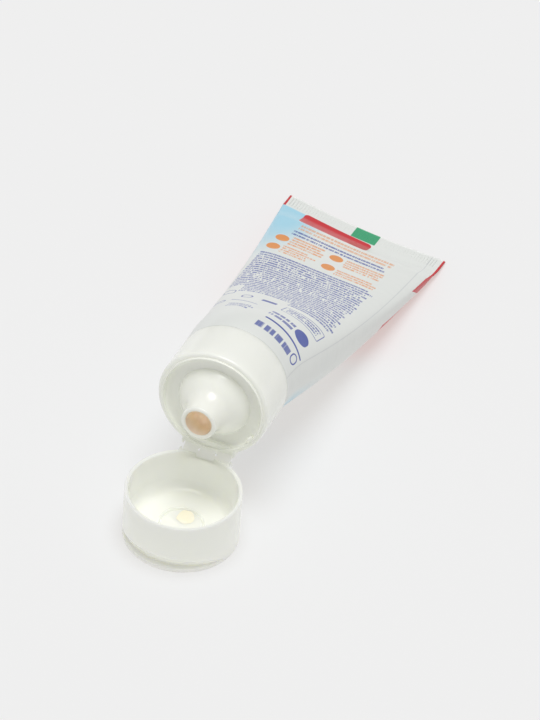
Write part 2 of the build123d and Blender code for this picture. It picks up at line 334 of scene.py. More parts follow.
@dataclass(frozen=True)
class WetPaste:
    """Smooth toothpaste, wet in the nozzle; other values give the dried smear in the lid. Both glow faintly
    with painted light that brightens the paste as if light passed through it.
    """

    name: str = "wet_paste"
    colour: tuple = (0.95, 0.77, 0.56)
    deep: tuple = (0.88, 0.66, 0.44)
    rough: float = 0.16
    coat: float = 0.6
    depth: float = 0.5
    glow: float = 0.09
    painted_glow_colour: tuple = (1.0, 0.78, 0.54, 1.0)

    def build(self) -> bpy.types.Material:
        """Make the material.

        Returns:
            The material.
        """
        g = Graph(self.name)
        at = g.place()
        colour = g.mix(g.step(g.noise(at, 200.0, 1.0), 0.4, 0.75), self.colour, self.deep)
        rough = g.math("ADD", self.rough, g.times(g.noise(at, 300.0), 0.12))
        g.set(Base_Color=colour, Roughness=rough)
        g.set(Normal=g.bump(g.noise(at, 280.0, 1.0), 0.15, 0.0005))
        g.set(Subsurface_Weight=self.depth, Subsurface_Scale=0.003, Subsurface_Radius=(1.0, 0.7, 0.4))
        g.set(Coat_Weight=self.coat, Coat_Roughness=0.08)
        # painted light: a faint warm glow that brightens the shaded paste as if light passed through it
        g.set(Emission_Color=self.painted_glow_colour, Emission_Strength=self.glow)
        return g.material


# the dried smear's pale yellow is a real stain; its faint glow is painted light
DRIED_PASTE = WetPaste(name="dried_paste", colour=(0.96, 0.91, 0.73), deep=(0.96, 0.93, 0.82),
                       rough=0.5, coat=0.0, depth=0.0, glow=0.05)


@dataclass(frozen=True)
class MattePlastic:
    """Plain moulded plastic of the hidden shoulder."""

    name: str = "shoulder_plastic"
    colour: tuple = (0.78, 0.78, 0.75)
    shade: tuple = (0.72, 0.72, 0.69)

    def build(self) -> bpy.types.Material:
        """Make the material.

        Returns:
            The material.
        """
        g = Graph(self.name)
        at = g.place()
        g.set(Base_Color=g.mix(g.noise(at, 80.0), self.colour, self.shade))
        g.set(Roughness=g.math("ADD", 0.4, g.times(g.noise(at, 600.0), 0.15)))
        g.set(Normal=g.bump(g.noise(at, 900.0), 0.1, 0.0002))
        return g.material


@dataclass(frozen=True)
class Rows:
    """Lines of small print, drawn as plain dashes. Millimetres on the unrolled sleeve."""

    ink: Ink
    left: float
    right: float
    top: float
    low: float
    pitch: float
    bold: float = 0.5
    letters: float = 1.6
    ragged: float = 3.0
    seed: float = 0.0
    slant: float = 0.0
    weight: float = 0.85

    def mask(self, g: Graph, u: object, v: object) -> bpy.types.NodeSocket:
        """Where these lines print.

        Args:
            g: The material's graph.
            u: Across the sleeve, from its middle.
            v: Along the sleeve, from the cap.

        Returns:
            1 on a dash, 0 elsewhere.
        """
        v = g.math("MULTIPLY_ADD", u, self.slant, v)
        along = g.math("DIVIDE", g.math("SUBTRACT", self.top, v), self.pitch)
        row = g.math("FLOOR", along)
        part = g.math("FRACT", along)
        edge = 0.5 - self.bold / 2
        soft = 0.06
        band = g.times(g.step(part, edge - soft, edge + soft), g.fall(part, 1 - edge - soft, 1 - edge + soft))
        # narrow gaps between marks and wider ones between words, different in each row
        mark_seat = g.vector(g.times(u, self.letters), g.math("MULTIPLY_ADD", row, 7.13, self.seed))
        marks = g.step(g.noise(mark_seat, 1.0, 1.0), 0.38, 0.50)
        word_seat = g.vector(g.times(u, 0.30 * self.letters),
                             g.math("MULTIPLY_ADD", row, 3.71, self.seed + 20.0))
        words = g.step(g.noise(word_seat, 1.0, 0.0), 0.22, 0.28)
        end = g.math("MULTIPLY_ADD", g.white(g.vector(row, self.seed)), -self.ragged, self.right)
        inside = g.times(g.math("GREATER_THAN", u, self.left), g.math("LESS_THAN", u, end),
                         g.math("LESS_THAN", v, self.top), g.math("GREATER_THAN", v, self.low))
        return g.times(band, marks, words, inside, self.weight)


@dataclass(frozen=True)
class Patch:
    """A plain rounded field of ink. Millimetres on the unrolled sleeve."""

    ink: Ink
    u: float
    v: float
    half_u: float
    half_v: float
    corner: float = 0.5
    hollow: float = 0.0
    slant: float = 0.0

    def mask(self, g: Graph, u: object, v: object) -> bpy.types.NodeSocket:
        """Where this field prints; a hollow one is only an outline of that width.

        Args:
            g: The material's graph.
            u: Across the sleeve, from its middle.
            v: Along the sleeve, from the cap.

        Returns:
            1 inside, 0 elsewhere.
        """
        v = g.math("MULTIPLY_ADD", g.math("SUBTRACT", u, self.u), self.slant, v)
        du = g.math("SUBTRACT", g.apart(u, self.u), self.half_u - self.corner)
        dv = g.math("SUBTRACT", g.apart(v, self.v), self.half_v - self.corner)
        du, dv = g.math("MAXIMUM", du, 0.0), g.math("MAXIMUM", dv, 0.0)
        far = g.math("SQRT", g.math("ADD", g.times(du, du), g.times(dv, dv)))
        soft, least_corner = 0.1, 0.15
        shape = g.fall(far, self.corner - soft, self.corner + soft)
        if not self.hollow:
            return shape
        hole = Patch(self.ink, self.u, self.v, self.half_u - self.hollow, self.half_v - self.hollow,
                     max(self.corner - self.hollow, least_corner))
        return g.times(shape, g.math("SUBTRACT", 1.0, hole.mask(g, u, v)))


@dataclass(frozen=True)
class PrintedLaminate:
    """Satin white laminate with its printed fields and lines of small print."""

    name: str = "printed_laminate"
    white: tuple = (0.81, 0.83, 0.80)
    cloud: tuple = (0.785, 0.81, 0.785)
    seam_shade: tuple = (0.45, 0.48, 0.52)
    prints: tuple = (
        Patch(Ink.GREEN, 0.6, 114.5, 4.1, 3.0, 0.3),
        Patch(Ink.RED, -7.4, 107.2, 11.6, 4.3, 1.4, 0.0, 0.03),
        Rows(Ink.ORANGE, -16.8, 16.8, 101.2, 96.6, 2.3, 0.60, 2.6, 8.0, 3.0, 0.0, 0.68),
        Rows(Ink.BLUE, -17.4, 16.2, 96.0, 91.6, 2.2, 0.54, 3.0, 4.0, 5.0),
        Patch(Ink.ORANGE, -18.6, 87.4, 2.2, 2.3, 2.2),
        Patch(Ink.ORANGE, -19.0, 80.0, 2.2, 2.3, 2.2),
        Patch(Ink.ORANGE, -0.6, 88.4, 2.2, 2.3, 2.2),
        Patch(Ink.ORANGE, -0.4, 79.9, 2.2, 2.3, 2.2),
        Rows(Ink.ORANGE, -15.9, -3.6, 91.2, 83.9, 1.82, 0.6, 3.6, 3.0, 9.0),
        Rows(Ink.ORANGE, -16.3, -4.6, 83.0, 76.6, 1.6, 0.6, 3.6, 3.5, 11.0),
        Rows(Ink.ORANGE, 2.5, 17.8, 90.8, 84.0, 1.7, 0.6, 3.6, 4.0, 13.0),
        Rows(Ink.ORANGE, 2.5, 16.4, 81.2, 76.0, 1.73, 0.6, 3.6, 4.0, 15.0),
        Rows(Ink.BLUE, -21.0, 17.6, 74.6, 42.6, 1.78, 0.60, 3.6, 2.5, 17.0),
        Rows(Ink.BLUE, -14.5, 18.6, 42.6, 35.4, 1.8, 0.60, 3.6, 3.0, 19.0),
        Rows(Ink.BLUE, 2.8, 20.0, 35.4, 31.6, 1.9, 0.60, 3.6, 2.0, 21.0),
        Patch(Ink.BLUE, -17.6, 36.2, 2.6, 1.7, 1.0, 0.35, 0.5),
        Patch(Ink.BLUE, -9.2, 29.0, 1.8, 1.9, 1.5, 0.45),
        Patch(Ink.BLUE, -1.6, 27.8, 2.4, 1.2, 0.3),
        Patch(Ink.BLUE, -18.2, 26.0, 3.4, 1.1, 1.0, 0.4, 0.5),
        Patch(Ink.BLUE, -7.6, 21.4, 5.0, 0.22, 0.2, 0.0, 0.5),
        Rows(Ink.BLUE, -11.6, -1.4, 13.2, 8.0, 1.7, 0.5, 2.3, 1.5, 27.0, 0.5),
        Rows(Ink.BLUE, 3.2, 12.0, 17.8, 11.0, 3.3, 0.60, 1.1, 0.5, 29.0),
        Patch(Ink.BLUE, 12.6, 9.2, 8.8, 0.34, 0.3),
        Patch(Ink.BLUE, 15.6, 15.0, 3.0, 3.5, 3.0),
        Patch(Ink.BLUE, 11.3, 25.7, 7.6, 3.3, 0.8, 0.28),
        Rows(Ink.BLUE, 5.0, 18.0, 28.0, 23.4, 1.5, 0.6, 2.3, 1.0, 31.0),
        Rows(Ink.BLUE, 2.4, 17.0, 7.0, 3.4, 3.6, 0.62, 0.95, 0.3, 33.0),
        Patch(Ink.BLUE, 19.4, 6.0, 1.6, 1.9, 1.6, 0.45),
    )

    @staticmethod
    def fields(g: Graph, u: object, v: object) -> tuple:
        """Large fields of colour that wrap round to the front.

        Args:
            g: The material's graph.
            u: Across the sleeve, from its middle.
            v: Along the sleeve, from the cap.

        Returns:
            Pairs of a mask and its ink, in the order in which they print.
        """
        wide = g.math("ABSOLUTE", u)
        # sky blue beside the left edge, fading towards the middle and the cap
        left = g.fall(g.math("MULTIPLY_ADD", v, -0.25, u), -45.0, -33.0)
        reach = g.times(g.step(v, 60.0, 100.0), g.fall(v, 110.9, 111.5))
        # sky blue on the underside, next to the cap
        under = g.times(g.step(wide, 30.0, 36.0), g.fall(v, 4.0, 34.0))
        # red wrap of the front, its edge curving away from the side, with a plain stretch at the left
        edge = g.times(g.math("GREATER_THAN", g.math("MULTIPLY_ADD", v, -0.02, wide), 23.75),
                       g.math("GREATER_THAN", g.math("MULTIPLY_ADD", wide, -1.6, v), 50.8))
        plain = g.times(g.math("LESS_THAN", u, 0.0), g.math("LESS_THAN", v, 111.2),
                        g.math("LESS_THAN", wide, 28.5))
        side = g.times(edge, g.math("SUBTRACT", 1.0, plain))
        # red of the underside beyond a wave, with a sky blue band along it
        wave = g.math("ADD", 72.0, g.times(g.math("SINE", g.times(wide, 0.11)), 9.0))
        front = g.times(g.step(wide, 29.0, 29.4), g.math("GREATER_THAN", v, wave))
        near_wave = g.math("LESS_THAN", g.apart(v, g.math("SUBTRACT", wave, 3.2)), 0.9)
        band = g.times(g.step(wide, 31.0, 31.4), near_wave)
        return ((g.times(left, reach, 0.95), Ink.SKY), (g.times(under, 0.75), Ink.SKY),
                (side, Ink.RED), (front, Ink.RED), (band, Ink.SKY))

    def build(self) -> bpy.types.Material:
        """Make the material.

        Returns:
            The material.
        """
        g = Graph(self.name)
        at = g.place()
        uv = g.tree.nodes.new("ShaderNodeUVMap")
        uv.uv_map = MAP_NAME
        across, along, _ = g.split(uv.outputs[0])
        u, v = g.times(across, MAP_UNIT), g.times(along, MAP_UNIT)
        clouds = g.step(g.noise(at, 45.0, 3.0), 0.3, 0.75)
        colour = g.mix(g.times(clouds, 0.5), self.white, self.cloud)
        for mask, ink in self.fields(g, u, v):
            colour = g.mix(mask, colour, ink.value)
        for item in self.prints:
            colour = g.mix(item.mask(g, u, v), colour, item.ink.value)
        seam = g.fall(g.apart(u, SEAM_U), 0.05, 0.24)
        colour = g.mix(g.times(seam, 0.35), colour, self.seam_shade)
        rough = g.math("ADD", 0.30, g.times(g.noise(at, 120.0, 3.0), 0.12))
        creases = g.noise(g.vector(g.times(u, 0.05), g.times(v, 0.13)), 1.0, 3.0, 0.55)
        grain = g.noise(at, 700.0, 2.0)
        relief = g.bump(grain, 0.05, 0.0002, g.bump(creases, 0.22, 0.0012))
        g.set(Base_Color=colour, Roughness=rough, Normal=relief, IOR=1.5)
        g.set(Coat_Weight=0.25, Coat_Roughness=0.22)
        return g.material


@dataclass(frozen=True)
class Backdrop:
    """Even pale studio floor, softly lit from below so that shadows stay light."""

    name: str = "studio_floor"
    colour: tuple = (0.340, 0.372, 0.394)
    glow: tuple = (0.53, 0.498, 0.476)

    def build(self) -> bpy.types.Material:
        """Make the material.

        Returns:
            The material.
        """
        g = Graph(self.name)
        g.set(Base_Color=(*self.colour, 1.0), Roughness=0.9, Specular_IOR_Level=0.0)
        g.set(Emission_Color=(*self.glow, 1.0), Emission_Strength=1.0)
        return g.material


# ------------------------------------------------------------------ meshes
def clamp(value: float) -> float:
    """Hold a value between 0 and 1."""
    return min(max(value, 0.0), 1.0)


def ease(part: float) -> float:
    """Smooth rise from 0 to 1."""
    return part * part * (3 - 2 * part)


def bands(rows: int, around: int, base: int = 0) -> list:
    """Faces between rings of points.

    Args:
        rows: How many rings there are.
        around: How many points a ring has.
        base: Number of the first ring's first point.

    Returns:
        The faces, four points each.
    """
    faces = []
    for r in range(rows - 1):
        for i in range(around):
            a, b = base + r * around + i, base + r * around + (i + 1) % around
            faces.append((a, a + around, b + around, b))
    return faces


def fan(top: int, ring: int, around: int) -> list:
    """Triangles from a top point to the ring of points below it."""
    return [(top, ring + i, ring + (i + 1) % around) for i in range(around)]


def underside(ring: int, around: int) -> tuple:
    """One face that closes a ring of points from below."""
    return tuple(ring + around - 1 - i for i in range(around))


def mesh_object(name: str, verts: list, faces: list, material: bpy.types.Material,
                smooth: bool = True) -> bpy.types.Object:
    """Make an object from points in millimetres.

    Args:
        name: The piece's name.
        verts: Its points.
        faces: Its faces.
        material: Its finish.
        smooth: Whether its faces are smooth shaded.

    Returns:
        The object, at the origin.
    """
    mesh = bpy.data.meshes.new(name)
    mesh.from_pydata([tuple(c * MM for c in p) for p in verts], [], faces)
    mesh.materials.append(material)
    mesh.shade_smooth() if smooth else mesh.shade_flat()
    mesh.validate()
    obj = bpy.data.objects.new(name, mesh)
    bpy.context.scene.collection.objects.link(obj)
    return obj


def print_map(obj: bpy.types.Object, place: list, girth: float) -> None:
    """Give a piece its print map.

    Args:
        obj: The piece.
        place: Each point's place across and along the unrolled sleeve.
        girth: The length once round the sleeve.
    """
    layer = obj.data.uv_layers.new(name=MAP_NAME)
    for poly in obj.data.polygons:
        across = [place[vert][0] for vert in poly.vertices]
        wrap = max(across) - min(across) > MAP_WRAP
        for loop, vert in zip(poly.loop_indices, poly.vertices):
            u, v = place[vert]
            u = u + girth if wrap and u < 0 else u
            layer.data[loop].uv = (u / MAP_UNIT, v / MAP_UNIT)


def report(obj: bpy.types.Object) -> bpy.types.Object:
    """Log a finished piece and hand it back."""
    LOG.info("%s has %d faces", obj.name, len(obj.data.polygons))
    return obj


def joint_point(name: str) -> Vector:
    """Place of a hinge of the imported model.

    Args:
        name: The joint's name.

    Returns:
        Its point, in millimetres.
    """
    for joint in frame["record"]["behaviour"]["joints"]:
        if joint["name"] == name:
            return Vector(joint["pos_m"]) / MM
    raise ValueError(name)


@dataclass
class TubeAxis:
    """Where the tube lies: its cap's ledge, its pitch and the droop of its sleeve. Millimetres."""

    body_r: float = 17.5
    hinge_in: float = 0.6
    hinge_off: float = 2.0
    cap_pitch: float = 6.0
    skirt: float = 16.0
    length: float = 117.6
    round_len: float = 2.0
    bend_len: float = 10.0
    relax_deg: float = 14.2
    crimp_thick: float = 1.1
    halvings: int = 50

    def __post_init__(self) -> None:
        """Work out the ledge's centre and the sleeve's droop."""
        self.pitch = math.radians(self.cap_pitch)
        self.axial = self.along(self.pitch)
        self.upward = self.across(self.pitch)
        hinge_drop = self.upward * (self.body_r - self.hinge_in)
        self.ledge = joint_point("link_hinge") + hinge_drop + self.axial * self.hinge_off
        # halve the range of bends, in radians, until the crimp lies on the floor
        low, high = 1e-4, 1.3
        for _ in range(self.halvings):
            self.bend = (low + high) / 2
            point, angle = self.spine(self.length)
            if point.z > self.crimp_thick / 2 * math.cos(angle):
                low = self.bend
            else:
                high = self.bend

    @staticmethod
    def along(angle: float) -> Vector:
        """Direction to the nozzle at a pitch."""
        return Vector((0.0, -math.cos(angle), math.sin(angle)))

    @staticmethod
    def across(angle: float) -> Vector:
        """Upward direction square to the tube at a pitch."""
        return Vector((0.0, math.sin(angle), math.cos(angle)))

    @staticmethod
    def arc(start: Vector, angle: float, turn: float, length: float) -> tuple:
        """Follow an arc back along the tube.

        Args:
            start: Where it begins.
            angle: The pitch there.
            turn: How much the pitch grows.
            length: The arc's length.

        Returns:
            The end and the pitch there.
        """
        if abs(turn) < 1e-6:
            return start - TubeAxis.along(angle) * length, angle
        radius = length / turn
        move = Vector((0.0, radius * (math.sin(angle + turn) - math.sin(angle)),
                       -radius * (math.cos(angle) - math.cos(angle + turn))))
        return start + move, angle + turn

    def spine(self, dist: float) -> tuple:
        """Middle of the sleeve.

        Args:
            dist: Distance from the cap's skirt.

        Returns:
            The point and the pitch there.
        """
        here = self.ledge - self.axial * (self.skirt + min(dist, self.round_len)), self.pitch
        part = min(max(dist - self.round_len, 0.0) / self.bend_len, 1.0)
        here = self.arc(*here, self.bend * part, self.bend_len * part)
        rest = self.length - self.round_len - self.bend_len
        part = max(dist - self.round_len - self.bend_len, 0.0) / rest
        return self.arc(*here, -math.radians(self.relax_deg) * part, rest * part)

    def cap_point(self, radius: float, height: float, angle: float) -> Vector:
        """Point about the cap's axis.

        Args:
            radius: Distance from the axis.
            height: Distance in front of the ledge.
            angle: Turn from +X towards the top, in radians.

        Returns:
            The point.
        """
        side = Vector((1, 0, 0)) * math.cos(angle) + self.upward * math.sin(angle)
        return self.ledge + side * radius + self.axial * height


@dataclass
class Sleeve:
    """Laminate sleeve, round at the cap and welded flat at the tail. Millimetres."""

    axis: TubeAxis
    wall: float = 0.45
    crimp_len: float = 6.0
    flat_square: float = 3.4
    narrow: float = 0.038
    twist_deg: float = 7.0
    sag: float = 1.5
    around: int = 232
    dent: float = 0.30
    seam_step: float = 0.14
    seam_rise: float = 0.35
    lap_width: float = 4.5
    lap_fade: float = 14.0
    square_by: float = 0.6
    trial_points: int = 160
    fine_points: int = 960
    rows: int = 120
    _cache: dict = field(default_factory=dict)

    def taper(self, dist: float) -> float:
        """How far the sleeve has flattened, from 0 at its round end to 1 at the crimp."""
        span = self.axis.length - self.crimp_len - self.axis.round_len
        return clamp((dist - self.axis.round_len) / span)

    def section(self, dist: float) -> tuple:
        """Half width, half thickness and squareness, as the solid sleeve has them.

        Args:
            dist: Distance from the cap's skirt.

        Returns:
            The three sizes.
        """
        if dist in self._cache:
            return self._cache[dist]
        ax, t = self.axis, self.taper(dist)
        if t <= 0:
            return ax.body_r, ax.body_r, 2.0
        half_w = ax.body_r + (math.pi * ax.body_r / 2 - self.narrow * ax.body_r - ax.body_r) * t
        square = 2.0 + (self.flat_square - 2.0) * ease(min(t / self.square_by, 1.0))
        # halve the range of thicknesses until the girth is the round end's
        low, high = 0.0, ax.body_r
        for _ in range(22):
            mid = (low + high) / 2
            ring = self.ring(half_w, mid, square, self.trial_points)
            girth = sum(math.dist(ring[i], ring[i - 1]) for i in range(len(ring)))
            low, high = (mid, high) if girth < 2 * math.pi * ax.body_r else (low, mid)
        thick = (low + high) / 2 * min(1.0, (1.0 - t) * 12)
        self._cache[dist] = half_w, max(thick, ax.crimp_thick / 2), square
        return self._cache[dist]

    @staticmethod
    def ring(half_w: float, half_t: float, square: float, count: int) -> list:
        """Points of one section, from the middle of the underside round by -X.

        Args:
            half_w: Half width.
            half_t: Half thickness.
            square: 2 for an ellipse, more for a squarer shape.
            count: How many points.

        Returns:
            The points, in the section's plane.
        """
        points = []
        for i in range(count):
            a = -math.pi / 2 - 2 * math.pi * i / count
            c, s = math.cos(a), math.sin(a)
            points.append((math.copysign(half_w * abs(c) ** (2 / square), c),
                           math.copysign(half_t * abs(s) ** (2 / square), s)))
        return points

    def even_ring(self, half_w: float, half_t: float, square: float) -> list:
        """Section points at even steps of girth, with their outward directions.

        Args:
            half_w: Half width.
            half_t: Half thickness.
            square: Squareness.

        Returns:
            Entries of x, y, outward x, outward y and the girth position from the top's middle.
        """
        fine = self.ring(half_w, half_t, square, self.fine_points)
        fine.append(fine[0])
        run = [0.0]
        for a, b in zip(fine, fine[1:]):
            run.append(run[-1] + math.dist(a, b))
        total, j, out = run[-1], 0, []
        for i in range(self.around):
            want = total * i / self.around
            while run[j + 1] < want:
                j += 1
            f = (want - run[j]) / max(run[j + 1] - run[j], 1e-9)
            x = fine[j][0] + (fine[j + 1][0] - fine[j][0]) * f
            y = fine[j][1] + (fine[j + 1][1] - fine[j][1]) * f
            nx = math.copysign(abs(x / half_w) ** (square - 1) / half_w, x)
            ny = math.copysign(abs(y / half_t) ** (square - 1) / half_t, y)
            size = math.hypot(nx, ny) or 1.0
            out.append((x, y, nx / size, ny / size, want - total / 2))
        return out

    def lay(self, dist: float, x: float, y: float) -> Vector:
        """Lay a section point in space; the tail leans on its right corner and sags in its middle.

        Args:
            dist: Distance from the cap's skirt.
            x: Across the section.
            y: Up in the section.

        Returns:
            The point.
        """
        ax = self.axis
        centre, angle = ax.spine(dist)
        part = ease(self.taper(dist))
        twist = math.radians(self.twist_deg) * part
        half_w = self.section(dist)[0]
        lift = half_w * math.sin(twist) - self.sag * part * max(1 - (x / half_w) ** 2, 0.0)
        side, up = Vector((1, 0, 0)), ax.across(angle)
        return (centre + up * lift + (side * math.cos(twist) - up * math.sin(twist)) * x
                + (up * math.cos(twist) + side * math.sin(twist)) * y)

    def relief(self, u: float, v: float) -> float:
        """Small hollows of the soft wall and the lap seam's step, never outward.

        Args:
            u: Across the sleeve, from its top's middle.
            v: Along it, from the cap.

        Returns:
            Inward shift, zero or less.
        """
        # the hollows fade out towards the cap and towards the crimp
        fade = clamp((v - 5) / 16) * clamp((self.axis.length - 9 - v) / 20)
        wide = noise.noise(Vector((u * 0.055, v * 0.045, 3.7))) * 0.5 + 0.5
        small = noise.noise(Vector((u * 0.12, v * 0.10, 8.1))) * 0.5 + 0.5
        hollow = (wide * 0.75 + small * 0.25) * self.dent * fade
        lap = clamp((u - SEAM_U) / self.seam_rise) * (1 - clamp((u - SEAM_U - self.lap_width) / self.lap_fade))
        return -hollow - lap * self.seam_step * min(v, 1.0)

    def close(self, base: int, flip: bool) -> list:
        """Close the end of a flat section with strips from its lower to its upper side.

        Args:
            base: Number of the section's first point.
            flip: Whether the faces look towards the cap.

        Returns:
            The faces.
        """
        n, faces = self.around, []
        for i in range(n // 4):
            left = [i, i + 1, n // 2 - i - 1, n // 2 - i]
            right = [n // 2 + i, n // 2 + i + 1, (n - i - 1) % n, (n - i) % n]
            faces += [tuple(base + k for k in dict.fromkeys(side)) for side in (left, right)]
        return [face[::-1] for face in faces] if flip else faces

    def stations(self) -> tuple:
        """Where the sleeve's sections lie, from the skirt to the tail.

        Returns:
            Distances of the outer sections, then of the inner ones.
        """
        start, crimp = self.axis.round_len, self.axis.length - self.crimp_len
        lip, press, step = 0.4, 6.0, 0.5
        body = crimp - press - 2 * lip
        outer = [0.0, lip]
        outer += [2 * lip + body * i / self.rows for i in range(self.rows + 1)]
        outer += [crimp - press + step * i for i in range(1, int(press / step))]
        outer += [crimp + self.crimp_len * i / 8 for i in range(9)]
        # the two walls meet a little before the crimp
        meet = crimp - press / 2
        inner = [0.0] + [start + (meet - start) * i / 16 for i in range(17)]
        return outer, inner

    def build(self, finish: bpy.types.Material) -> bpy.types.Object:
        """Make the sleeve as a closed shell with a print map.

        Args:
            finish: Its material.

        Returns:
            The sleeve.
        """
        n, verts, place = self.around, [], []
        outer, inner = self.stations()
        for dist in outer:
            half_w, half_t, square = self.section(dist)
            for x, y, nx, ny, u in self.even_ring(half_w, half_t, square):
                shift = self.relief(u, dist) if half_t > 1.0 else 0.0
                verts.append(tuple(self.lay(dist, x + nx * shift, y + ny * shift)))
                place.append((u, dist))
        base = len(verts)
        for dist in inner:
            half_w, half_t, square = self.section(dist)
            wall = min(self.wall, half_t - 0.3)
            for x, y, nx, ny, u in self.even_ring(half_w, half_t, square):
                verts.append(tuple(self.lay(dist, x - nx * wall, y - ny * wall)))
                place.append((u, dist))
        faces = bands(len(outer), n) + self.close((len(outer) - 1) * n, False)
        # the inner shell's faces look inwards
        faces += [(a, b, c, d) for a, d, c, b in bands(len(inner), n, base)]
        faces += self.close(base + (len(inner) - 1) * n, True)
        faces += [(i, (i + 1) % n, base + (i + 1) % n, base + i) for i in range(n)]
        obj = mesh_object("sleeve_skin", verts, faces, finish)
        print_map(obj, place, 2 * math.pi * self.axis.body_r)
        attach(obj, Body.TUBE.value)
        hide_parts("tube_sleeve")
        return obj


@dataclass
class CrimpRibs:
    """Fine pressed ribs on both faces of the welded tail. Millimetres."""

    axis: TubeAxis
    sleeve: Sleeve
    pitch: float = 0.95
    half_span: float = 25.2
    length: float = 4.9
    half_w: float = 0.17
    rise: float = 0.07
    end_gap: float = 0.75
    sunk: float = 0.9

    def tree(self, finish: bpy.types.Material) -> bpy.types.NodeTree:
        """Build the node tree that lays a row of ribs.

        Args:
            finish: The ribs' material.

        Returns:
            The node tree.
        """
        tree = bpy.data.node_groups.new("crimp_rib_row", "GeometryNodeTree")
        face = tree.interface
        face.new_socket("Geometry", in_out="INPUT", socket_type="NodeSocketGeometry")
        names = ("Pitch", "Span", "Length", "Half Width", "Rise")
        for name in names:
            face.new_socket(name, in_out="INPUT", socket_type="NodeSocketFloat")
        face.new_socket("Geometry", in_out="OUTPUT", socket_type="NodeSocketGeometry")
        nodes, new, link = Nodes(tree), tree.nodes.new, tree.links.new
        ins, outs = new("NodeGroupInput"), new("NodeGroupOutput")
        pitch, span, length, half_w, rise = (ins.outputs[name] for name in names)
        line = new("GeometryNodeMeshLine")
        line.mode = "OFFSET"
        link(nodes.math("DIVIDE", span, pitch), line.inputs["Count"])
        link(nodes.vector(pitch, 0.0), line.inputs["Offset"])
        link(nodes.vector(nodes.math("MULTIPLY", span, -0.5), 0.0), line.inputs["Start Location"])
        rib = new("GeometryNodeMeshUVSphere")
        for name, value in (("Segments", 8), ("Rings", 6), ("Radius", 1.0)):
            rib.inputs[name].default_value = value
        shape = new("GeometryNodeTransform")
        link(rib.outputs["Mesh"], shape.inputs["Geometry"])
        link(nodes.vector(half_w, nodes.math("MULTIPLY", length, 0.5), rise), shape.inputs["Scale"])
        spread = new("GeometryNodeInstanceOnPoints")
        link(line.outputs["Mesh"], spread.inputs["Points"])
        link(shape.outputs[0], spread.inputs["Instance"])
        real = new("GeometryNodeRealizeInstances")
        link(spread.outputs[0], real.inputs[0])
        dress = new("GeometryNodeSetMaterial")
        dress.inputs["Material"].default_value = finish
        link(real.outputs[0], dress.inputs["Geometry"])
        link(dress.outputs[0], outs.inputs[0])
        return tree

    def build(self, finish: bpy.types.Material) -> bpy.types.Object:
        """Make the ribs of both faces as one mesh.

        Args:
            finish: The ribs' material.

        Returns:
            The ribs.
        """
        carrier = bpy.data.objects.new("rib_carrier", bpy.data.meshes.new("rib_carrier"))
        bpy.context.scene.collection.objects.link(carrier)
        mod = carrier.modifiers.new("ribs", "NODES")
        mod.node_group = self.tree(finish)
        sizes = {"Pitch": self.pitch, "Span": 2 * self.half_span, "Length": self.length,
                 "Half Width": self.half_w, "Rise": self.rise * 2}
        for item in mod.node_group.interface.items_tree:
            if item.in_out == "INPUT" and item.name in sizes:
                mod[item.identifier] = sizes[item.name]
        bpy.context.view_layer.update()
        graph = bpy.context.evaluated_depsgraph_get()
        row = bpy.data.meshes.new_from_object(carrier.evaluated_get(graph))
        carrier.modifiers.remove(mod)
        mid = self.axis.length - self.end_gap - self.length / 2
        half_girth = math.pi * self.axis.body_r
        verts, faces, place = [], [], []
        for side in (1, -1):
            lift = side * (self.axis.crimp_thick / 2 - self.rise * self.sunk)
            base = len(verts)
            for vert in row.vertices:
                x, y, z = vert.co
                verts.append(tuple(self.sleeve.lay(mid + y, x, z + lift)))
                place.append((x if side > 0 else math.copysign(half_girth, x) - x, mid + y))
            faces += [tuple(base + i for i in poly.vertices) for poly in row.polygons]
        bpy.data.objects.remove(carrier)
        obj = mesh_object("crimp_ribs", verts, faces, finish)
        print_map(obj, place, 2 * half_girth)
        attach(obj, Body.TUBE.value)
        return obj


